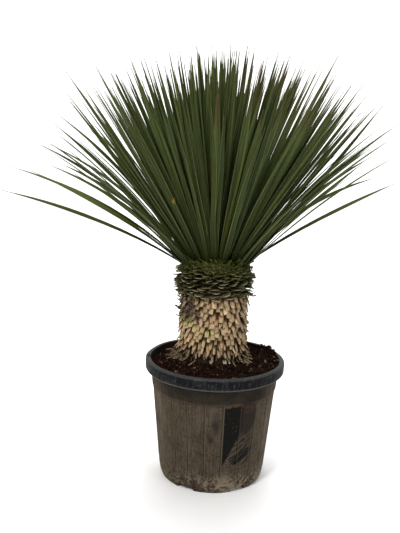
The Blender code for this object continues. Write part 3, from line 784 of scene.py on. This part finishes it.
def makeStem(finish):
    outline = [(0, stemTop - 0.0006), (0.080, stemTop - 0.0006), (husk["stem"] + 0.001, 0.529),
               (husk["stem"] - 0.003, 0.473), (husk["stem"], 0.374), (husk["stem"], 0.245),
               (husk["stem"] * 0.8, husk["stemBottom"]), (0, husk["stemBottom"])]
    bm = turnedBody(outline, 96, 0.002, middle=plantX)

    copies = []
    draw, own = random.Random(11), random.Random(111)
    for k, share in shares(husk["count"]):
        rootHeight = husk["lowest"] + share * (husk["highest"] - husk["lowest"])
        flare = radians(14 + draw.uniform(-4, 7) + 6 * max(0, 1 - share * 5))
        slim = 1 - 0.48 * (1 - smooth(share, 0.06, 0.40))
        length = husk["length"] * (1.12 - 0.12 * slim)
        tone = own.random()
        copies.append((tone, huskShape(draw, own, k * goldenAngle, rootHeight, flare, length, slim)))
    stampAll(bm, rodTemplate(10, (0.25, 0.5, 0.68, 0.84, 0.94)), copies)

    strips = []
    draw = random.Random(13)
    for k in range(husk["stripCount"]):
        azimuth = k * goldenAngle
        spread = sin(azimuth) ** 2
        front = smooth(cos(azimuth), 0.5, 0.9)
        level = draw.uniform(0.378, 0.400) + 0.010 * front
        length = draw.uniform(0.016, 0.031) + 0.020 * spread
        curl = draw.uniform(0.10, 0.40) + 0.45 * spread
        wide = draw.uniform(0.0024, 0.0068)
        shape = hangingShape(own, azimuth, level, length, draw.uniform(0.06, 0.30), curl, wide)
        strips.append((own.random(), shape))
    for azimuth, spread, length, count in husk["sprawl"]:
        for k in range(count):
            heading = radians(azimuth + draw.gauss(0, spread))
            wide = draw.uniform(0.0022, 0.0050)
            level, reach = draw.uniform(0.362, 0.388), length * draw.uniform(0.7, 1.05)
            shape = hangingShape(own, heading, level, reach, draw.uniform(0.30, 0.75),
                                 draw.uniform(0.5, 0.9), wide)
            strips.append((own.random(), shape))
    for azimuth, level in husk["cutEnds"]:
        wide = draw.uniform(0.0060, 0.0100)
        shape = hangingShape(own, radians(azimuth), level + 0.020, 0.021, 0.42, 0.05, wide, 0.0020)
        strips.append((1 + own.random(), shape))
    for azimuth, level, length, lean, curl, wide, tone in husk["curls"]:
        shape = hangingShape(own, radians(azimuth), level, length, lean, curl, wide, 0.0015)
        strips.append((tone, shape))
    for k in range(husk["peelCount"]):
        onLeft = k % 5 < 3
        azimuth = radians(draw.gauss(-64, 20) if onLeft else draw.uniform(20, 290))
        level = draw.uniform(0.480, 0.552)
        shape = hangingShape(own, azimuth, level, draw.uniform(0.014, 0.027), draw.uniform(0.25, 0.7),
                             draw.uniform(0.8, 2.4), draw.uniform(0.0040, 0.0095))
        strips.append((2 + own.random() if onLeft else own.random(), shape))
    stampAll(bm, rodTemplate(6, (0.2, 0.4, 0.6, 0.8)), strips)

    threads = []
    for k in range(husk["threadCount"]):
        out = around(draw.uniform(0, tau))
        start = fromStem(out, husk["stem"] + 0.004, draw.uniform(0.37, 0.53))
        direction = (out * draw.uniform(0.1, 0.9) - upward * draw.uniform(0.2, 1)).normalized()
        length = draw.uniform(0.010, 0.024)
        threads.append((own.random(), threadShape(own, start, direction, length, 0.0005)))
    stampAll(bm, rodTemplate(3, (0.3, 0.6, 0.85)), threads)
    addPiece("stem_husks", bm, finish, ("dry_stem",), 45)


def stemFinish():
    look = {
        "tan": (0.27, 0.170, 0.082), "pale": (0.60, 0.445, 0.265), "orange": (0.27, 0.130, 0.042),
        "dark": (0.013, 0.0075, 0.004), "grey": (0.13, 0.098, 0.074), "moss": (0.340, 0.365, 0.095),
        "cut": (0.42, 0.40, 0.28), "bark": (0.045, 0.030, 0.024),
        # azimuth, height and half sizes of the mossy places
        "mossy": ((-22, 0.4420, 6, 0.0090), (-7, 0.4440, 5, 0.0085), (7, 0.4390, 5, 0.0080),
                  (-36, 0.4420, 7, 0.0080), (-12, 0.4270, 6, 0.0060), (-27, 0.4220, 6, 0.0060),
                  (-52, 0.4640, 16, 0.0110), (-58, 0.5280, 14, 0.0090), (160, 0.45, 14, 0.02),
                  (-120, 0.43, 12, 0.02)),
    }
    f = Finish("dryLeafBase", look)
    spot = f.spot()
    aside, along, tone = f.split(f.place())
    x, y, z = f.split(spot)
    turn = f.azimuth(x - plantX, y)
    luck, second = f.chance(tone * 53.1), f.chance(tone * 91.7 + 3)
    fibres = f.grain(f.join(aside * 8, along * 2.0, tone * 40), 1.6, 4, 0.65)
    blotch = f.grain(spot, 110, 4, 0.6)
    ragged = (blotch - 0.5) * 1.3 + (luck - 0.5) * 0.9
    colour = f.coats("tan", (f.fade(luck, 0.15, 0.95), "pale"),
                     (f.fade(second, 0.45, 0.95) * 0.80, "orange"))
    for place in look["mossy"]:
        colour = f.mix(patch(f, turn, z, ragged, *place) * 0.9, colour, "moss")
    peeling = patch(f, turn, z, ragged * 0.8, -50, 0.498, 38, 0.040)
    shaded = patch(f, turn, z, ragged, 66, 0.47, 22, 0.08)
    # painted shade low on the stem, round its foot
    foot = f.fade(z, 0.398, 0.366)
    # painted highlight on the middle of each husk's exposed end
    middle = f.fade(abs(aside), 0.95, 0.55) * f.fade(along, 0.62, 0.80) * (1 - peeling)
    # tones past 1 are the pale cut ends, and past 2 the dark peeling strips
    colour = f.coats(
        colour,
        (peeling * (0.50 + f.fade(luck, 0.9, 0.3) * 0.48), "bark"),
        (shaded * 0.60, "grey"),
        (foot * 0.50, "grey"),
        (foot * f.fade(luck, 0.90, 0.30) * 0.85, "dark"),
        (middle * 0.50, "pale"),
        (f.fade(blotch, 0.52, 0.72) * 0.50, "grey"),
        (f.fade(fibres, 0.56, 0.36) * 0.72, "dark"),
        # painted shade: each husk darker along its sides and towards its root, where the husks overlap
        (f.fade(abs(aside), 0.70, 0.98) * 0.94, "dark"),
        (f.fade(along, 0.72, 0.50) * 0.90, "dark"),
        (f.fade(tone, 1.0, 1.001) * f.fade(along, 0.25, 0.7), "cut"),
        (f.fade(tone, 2.0, 2.001) * f.fade(fibres, 0.30, 0.52), "bark"),
    )
    return f.give({"Base Color": colour, "Roughness": 0.85, "Specular IOR Level": 0.10,
                   "Normal": f.bump(fibres + blotch * 0.4, 0.0011, 0.8)})


# Collar: green leaf bases trimmed short

stub = {
    "count": 210, "length": 0.046, "reach": 0.0250, "rootWidth": 0.0350, "endWidth": 0.0270,
    "thickness": 0.0036, "collar": 0.0900, "crownCount": 150, "baseCount": 170, "speckCount": 900,
    "head": 0.0900, "headRise": 0.0600,
}


def stubShape(own, out, surface, rise, reach, wide=1.0):
    tilt = own.gauss(0, 0.19)
    side = Vector((-out.y, out.x, 0))
    across = (side * cos(tilt) + upward * sin(tilt)).normalized()
    ahead = out * cos(rise) + upward * sin(rise) + side * own.gauss(0, 0.22)
    up = across.cross(ahead).normalized()
    up = up if up.z > 0 else -up
    root = surface - out * (stub["length"] - stub["reach"])
    tip = surface + ahead * reach
    bow, droop, seed = own.uniform(-0.0006, 0.0026), own.uniform(-0.004, 0.001), own.uniform(0, 60)
    thick = stub["thickness"] * own.uniform(0.7, 1.2)
    rootWidth = stub["rootWidth"] * wide
    endWidth = stub["endWidth"] * own.uniform(0.50, 1.15) * wide
    rounding = own.uniform(-0.001, 0.005)

    def shape(aside, deep, along):
        half = 0.5 * (rootWidth + (endWidth - rootWidth) * along ** 1.2)
        centre = root + (tip - root) * along + up * (droop * along * along)
        body = thick * (1 - 0.50 * along) * 0.5 * (1 - 0.85 * aside * aside)
        cut = 0.0040 * ripple(aside * 1.9, seed, 2) - rounding * aside * aside
        centre += ahead * (cut * smooth(along, 0.5, 1))
        return centre + across * (aside * half) + up * (bow * aside * aside + deep * body)
    return shape


def makeCollar(finish):
    low, high = collarLow, collarHigh
    radius = stub["collar"]
    outline = [(0, high - 0.001), (radius - 0.004, high - 0.001), (radius - 0.001, (low + high) / 2),
               (radius - 0.004, low + 0.001), (0, low + 0.001)]
    bm = turnedBody(outline, 96, 0.001, middle=plantX)
    draw, own = random.Random(23), random.Random(223)
    copies = []
    for k, share in shares(stub["count"]):
        out = around(k * goldenAngle)
        level = low + 0.0040 + share * (high - low - 0.0050)
        surface = fromStem(out, radius, level)
        rise = radians(-9 + 30 * share + draw.uniform(-5, 5))
        reach = stub["reach"] * draw.uniform(0.42, 1.08)
        copies.append((own.random(), stubShape(own, out, surface, rise, reach)))
    stampAll(bm, rodTemplate(8, (0.45, 0.6, 0.75, 0.88)), copies)
    addPiece("collar_stubs", bm, finish, ("trimmed_collar",), 45)


def collarFinish():
    look = {
        "green": (0.034, 0.041, 0.0085), "olive": (0.100, 0.102, 0.026), "dark": (0.0040, 0.0042, 0.0018),
        "cut": (0.29, 0.262, 0.175), "brown": (0.130, 0.088, 0.044), "lime": (0.130, 0.145, 0.020),
        "leaf": (0.045, 0.060, 0.011), "straw": (0.20, 0.16, 0.075),
    }
    f = Finish("cutLeafBase", look)
    spot = f.spot()
    aside, along, tone = f.split(f.place())
    z = f.split(spot)[2]
    luck, second = f.chance(tone * 47.9), f.chance(tone * 33.3 + 9)
    fibres = f.grain(f.join(aside * 8, along * 2, tone * 40), 1.5, 4, 0.6)
    blotch = f.grain(spot, 150, 4, 0.6)
    crown = f.fade(z + (blotch - 0.5) * 0.05 + (luck - 0.5) * 0.02, 0.588, 0.630)
    dry = f.fade(z + (blotch - 0.5) * 0.03, 0.572, 0.536)
    ends = f.fade(along, 0.950, 0.990) * f.fade(second * 0.6 + fibres * 0.4 + dry * 0.15, 0.30, 0.75)
    edges = f.fade(abs(aside), 0.78, 0.97) * f.fade(along, 0.65, 0.85) * (0.30 + dry * 0.4)
    colour = f.coats(
        "green",
        (luck, "olive"),
        (f.fade(fibres, 0.60, 0.40) * 0.5, "dark"),
        # painted shade: each stub darker towards where it leaves the collar, less so on the crown
        (f.fade(along, 0.80, 0.58) * (0.9 - crown * 0.5), "dark"),
        (dry * f.fade(second, 0.2, 0.7) * 0.8, "brown"),
        ((ends + edges) * (1 - crown * 0.7), "cut"),
        (crown * f.fade(second, 0.25, 0.8) * f.fade(along, 0.5, 0.9) * 0.8, "lime"),
    )
    # tones past 1 are the green bases among the leaves, and past 2 the specks and fibres
    # the bases among the leaves get painted shade towards their roots
    base = f.coats("leaf", (f.fade(along, 0.35, 0.0) * 0.9, "dark"),
                   (f.fade(luck, 0.5, 0.9) * f.fade(along, 0.6, 0.95) * 0.7, "lime"))
    speck = f.coats("lime", (f.fade(luck, 0.60, 0.95), "straw"), (f.fade(second, 0.45, 0.30), "dark"))
    colour = f.coats(colour, (f.fade(tone, 1.0, 1.001), base), (f.fade(tone, 2.0, 2.001), speck))
    return f.give({"Base Color": colour, "Roughness": 0.65, "Specular IOR Level": 0.10,
                   "Normal": f.bump(fibres + blotch * 0.5, 0.0008, 0.6)})


# Leaves

leaf = {
    "count": 206, "length": 0.522, "width": 0.0128, "sink": 0.020, "keel": 0.0021,
    "largestLean": 36, "ring": 0.88, "loneRing": 0.976, "top": 1.188,
    "spareCount": 240, "youngCount": 30, "fringeCount": 36,
    "rootThickness": 0.0022, "tipThickness": 0.0006, "gutter": 0.0026, "thread": 0.14,
    "cuts": (0.05, 0.12, 0.2, 0.3, 0.4, 0.5, 0.6, 0.68, 0.75, 0.81, 0.86, 0.90, 0.935, 0.965),
    # lone leaves at the edge of the fan: azimuth, lean, length, downward bend and twist
    "lone": (
        (-82, 58.0, 0.513, 20, 60), (-88, 45.8, 0.516, 32, 50), (-76, 49.4, 0.472, 18, 65),
        (-108, 44.8, 0.495, 31, 40), (-121, 48.1, 0.526, 29, 55), (-96, 36.4, 0.504, 34, 60),
        (-112, 38.0, 0.527, 36, 35), (-103, 38.7, 0.537, 16, 55), (-91, 26.2, 0.520, 32, 50),
        (-127, 34.2, 0.526, 28, -40), (106, 57.0, 0.508, 12, -50), (119, 44.9, 0.509, 38, -65),
        (114, 41.7, 0.501, 23, -40), (122, 56.6, 0.524, 2, -55), (86, 33.2, 0.543, 21, -45),
        (80, 38.4, 0.553, -3, -60), (98, 34.2, 0.522, 2, -30), (66, 43.0, 0.505, 14, -25),
        (150, 52.0, 0.515, 18, 20), (172, 58.0, 0.520, 14, -25), (196, 47.0, 0.530, 26, 15),
        (217, 56.0, 0.500, 12, -20), (158, 40.0, 0.520, 20, 30), (184, 39.0, 0.530, 15, -35),
        (-46, 45.0, 0.500, 16, 30), (38, 43.0, 0.490, 12, -20),
    ),
}


def crownPoint(out, ring):
    rise = stub["headRise"] * sqrt(1 - ring * ring)
    return fromStem(out, stub["head"] * ring, collarHigh + 0.0003 + rise)


def leafWidthShare(along):
    taper = 1 - (max(along - 0.62, 0) / 0.38) ** 2.0
    return max((1.10 - 0.20 * along) * taper, leaf["thread"])


def leafShape(own, azimuth, ring, lean, length, bend, twist, wide=1.0):
    out = around(azimuth)
    side = Vector((-out.y, out.x, 0))
    surface = crownPoint(out, ring)
    ahead = out * sin(lean) + upward * cos(lean)
    under = out * cos(lean) - upward * sin(lean)
    sink = min(leaf["sink"], (surface.z - collarHigh - leaf["keel"] * 2) / ahead.z)
    length = min(length, (leaf["top"] - surface.z) / ahead.z)
    start = surface - ahead * sink
    whole = length + sink
    stray, kink, seed = own.gauss(0, 0.006), own.gauss(0, 0.0015), own.uniform(0, 90)
    gutter = leaf["gutter"] * own.uniform(0.4, 1.4)

    def shape(aside, deep, along):
        centre = start + ahead * (whole * along) + under * (whole * 0.5 * bend * along * along)
        centre += side * (stray * along * along + kink * sin(along * 7 + seed))
        turn = twist * min(along * 1.6, 1)
        broad = side * cos(turn) + under * sin(turn)
        depth = under * cos(turn) - side * sin(turn)
        share = leafWidthShare(along)
        half = leaf["width"] * wide * 0.5 * share
        thick = leaf["rootThickness"] + (leaf["tipThickness"] - leaf["rootThickness"]) * along ** 0.6
        body = thick * 0.5 * (1 - 0.72 * aside * aside) * min(1, 0.35 + share)
        keel = 0.0005 * max(deep, 0) * (1 - abs(aside)) * share
        channel = gutter * aside * aside * share
        return centre + broad * (aside * half) + depth * (deep * body + keel - channel)
    return shape


def makeLeaves(finish):
    bm = newBody()
    draw, own = random.Random(41), random.Random(441)
    copies = []
    for k, share in shares(leaf["count"]):
        azimuth = k * goldenAngle + draw.gauss(0, 0.15) * smooth(share, 0.2, 0.5)
        lean = radians(leaf["largestLean"] * share ** 0.56 + draw.uniform(-1.6, 1.6))
        length = leaf["length"] * draw.uniform(0.89, 1.06) * (1 - 0.03 * share)
        bend = radians(draw.uniform(-1, 5))
        twist = radians(draw.uniform(-38, 38))
        ring = leaf["ring"] * sqrt(share)
        copies.append((own.random(), leafShape(own, azimuth, ring, abs(lean), length, bend, twist)))
    for azimuth, lean, length, bend, twist in leaf["lone"]:
        angles = [radians(value) for value in (azimuth, lean, bend, twist)]
        shape = leafShape(own, angles[0], leaf["loneRing"], angles[1], length, angles[2], angles[3], 0.92)
        copies.append((own.random(), shape))
    draw = random.Random(42)
    for k, share in shares(leaf["spareCount"]):
        lean = radians((leaf["largestLean"] + 2) * share ** 0.56 + draw.uniform(-2, 2))
        sideways = abs(sin(k * goldenAngle + 1.2)) * smooth(share, 0.05, 0.4)
        length = leaf["length"] * (draw.uniform(0.91, 1.08) + 0.045 * sideways)
        twist = radians(draw.uniform(-70, 70))
        ring = leaf["ring"] * sqrt(share)
        azimuth = k * goldenAngle + 1.2 + draw.gauss(0, 0.14) * smooth(share, 0.2, 0.5)
        shape = leafShape(own, azimuth, ring, abs(lean), length, 0.03, twist, draw.uniform(0.55, 1.0))
        copies.append((own.random(), shape))
    for k in range(leaf["fringeCount"]):
        azimuth = radians((90 if k % 2 else -90) + draw.uniform(-42, 42))
        lean = radians(draw.uniform(33, 38 if k % 2 else 45))
        length = leaf["length"] * draw.uniform(0.80, 1.0)
        twist = radians(draw.uniform(-25, 25))
        shape = leafShape(own, azimuth, draw.uniform(0.90, 0.99), lean, length, 0.30, twist, 0.5)
        copies.append((own.random(), shape))
    for k in range(leaf["youngCount"]):
        lean = radians(draw.uniform(0.5, 6))
        length = leaf["length"] * draw.uniform(0.72, 0.99)
        shape = leafShape(own, k * goldenAngle, 0.18 * draw.random(), lean, length, 0, 0.3, 0.7)
        copies.append((own.random(), shape))
    stampAll(bm, rodTemplate(8, leaf["cuts"]), copies, 24)
    addPiece("leaf_fan", bm, finish, ("leaf_head",), 50)


def makeCrown(finish):
    low = collarHigh + 0.0003
    dome = [(stub["head"] * cos(a), low + stub["headRise"] * sin(a))
            for a in (radians(5 * k) for k in range(18))]
    bm = turnedBody([(0, low)] + dome + [(0, low + stub["headRise"])], 96, 0.0005, middle=plantX)
    draw, own = random.Random(43), random.Random(443)
    copies = []
    for k, share in shares(stub["crownCount"]):
        out = around(k * goldenAngle)
        rise = radians(16 + 40 * share + draw.uniform(-9, 9))
        surface = crownPoint(out, cos(radians(1 + 24 * share)))
        reach = stub["reach"] * draw.uniform(0.25, 0.95) * (1 - 0.72 * smooth(share, 0.0, 0.45))
        copies.append((own.random(), stubShape(own, out, surface, rise, reach, draw.uniform(0.35, 0.85))))
    for k, share in shares(stub["baseCount"]):
        out = around(k * goldenAngle + 0.6)
        rise = radians(46 + 32 * share + draw.uniform(-8, 8))
        surface = crownPoint(out, cos(radians(7 + 36 * share)))
        reach = draw.uniform(0.010, 0.038)
        wide = draw.uniform(0.25, 0.5)
        copies.append((1 + own.random(), stubShape(own, out, surface, rise, reach, wide)))
    stampAll(bm, rodTemplate(8, (0.45, 0.6, 0.75, 0.88)), copies)
    specks = []
    for k in range(stub["speckCount"]):
        out = around(draw.uniform(0, tau))
        slope = draw.uniform(-14, 42)
        start = crownPoint(out, cos(radians(max(slope, 0))))
        start += out * draw.uniform(0.001, 0.016) * (1 - 0.6 * smooth(slope, 0, 20))
        start += (out * 0.005 - upward * 0.009) * smooth(-slope, 0, 14)
        direction = Vector([draw.gauss(0, 0.6) for axis in range(3)]) + out * 0.6 + upward * 0.6
        length = draw.uniform(0.004, 0.012)
        thick = draw.uniform(0.0004, 0.0009)
        specks.append((2 + own.random(), threadShape(own, start, direction.normalized(), length, thick)))
    stampAll(bm, rodTemplate(4, (0.5,)), specks)
    addPiece("crown_stubs", bm, finish, (), 45)


def leafFinish():
    look = {
        "olive": (0.037, 0.050, 0.0056), "blue": (0.028, 0.045, 0.0140), "yellow": (0.080, 0.090, 0.0100),
        "root": (0.0080, 0.0120, 0.0022), "edge": (0.21, 0.23, 0.085), "tip": (0.085, 0.060, 0.035),
        "burn": (0.080, 0.024, 0.012), "bloom": (0.062, 0.088, 0.058), "spot": (0.24, 0.13, 0.02),
        "light": (0.082, 0.106, 0.034),
    }
    f = Finish("yuccaLeaf", look)
    spot = f.spot()
    aside, along, tone = f.split(f.place())
    x, y, z = f.split(spot)
    luck, second, third = f.chance(tone * 37.7), f.chance(tone * 61.9 + 4), f.chance(tone * 83.1 + 8)
    veins = f.grain(f.join(aside * 14, along * 2.5, tone * 50), 1.5, 3, 0.6)
    mottle = f.grain(f.join(aside * 1.5, along * 14, tone * 50), 1.6, 4, 0.6)
    rim = f.fade(abs(aside), 0.76, 0.92) * f.fade(along, 0.02, 0.3)
    upper = f.fade(along, 0.42, 0.80)
    # a few burnt tips all round, and more at the upper right
    nearTip = f.fade(along + mottle * 0.10, 0.83, 0.97)
    side = oval(f, (x - 0.17) / 0.17, (z - 1.07) / 0.10, (mottle - 0.5) * 0.6)
    burnt = nearTip * f.fade(third, 0.84, 0.96)
    burnt = burnt + side * nearTip * f.fade(second, 0.45, 0.55) * f.fade(mottle, 0.42, 0.56)
    # one sore place on a leaf at the front
    sore = oval(f, (x + 0.122) / 0.004, (z - 0.800) / 0.007, 0) * f.fade(y, -0.05, -0.10)
    colour = f.coats(
        "olive",
        (f.fade(luck, 0.25, 0.75), "blue"),
        (f.fade(second, 0.62, 1.0) * 0.7, "yellow"),
        (f.fade(mottle, 0.48, 0.72) * f.fade(along, 0.30, 0.55) * 0.45, "bloom"),
        (f.fade(veins, 0.56, 0.38) * 0.40, "root"),
        # painted shade: a random share of the leaves darkened, and each leaf darker towards its sides and
        # its root
        (f.fade(third, 0.50, 0.05) * 0.70, "root"),
        (f.fade(abs(aside), 0.45, 0.68) * 0.35, "root"),
        (f.fade(along, 0.50, 0.02) * 0.75, "root"),
        (rim * (0.15 + luck * 0.55), "edge"),
        (upper * f.fade(second, 0.15, 0.95) * 0.75, "light"),
        (upper * f.fade(veins, 0.52, 0.36) * 0.50, "root"),
        (burnt * f.fade(veins, 0.36, 0.54) * 0.75, "burn"),
        (sore * 0.7, "spot"),
        (f.fade(along, 0.955, 0.985) * 0.75, "tip"),
    )
    return f.give({"Base Color": colour, "Roughness": 0.45 + mottle * 0.25, "Specular IOR Level": 0.07,
                   "Normal": f.bump(veins, 0.0004, 0.5)})


makeCamera()
makeStudio()
makePot(potFinish())
makeCompost(compostFinish())
makeStem(stemFinish())
collarLook = collarFinish()
makeCollar(collarLook)
makeCrown(collarLook)
makeLeaves(leafFinish())
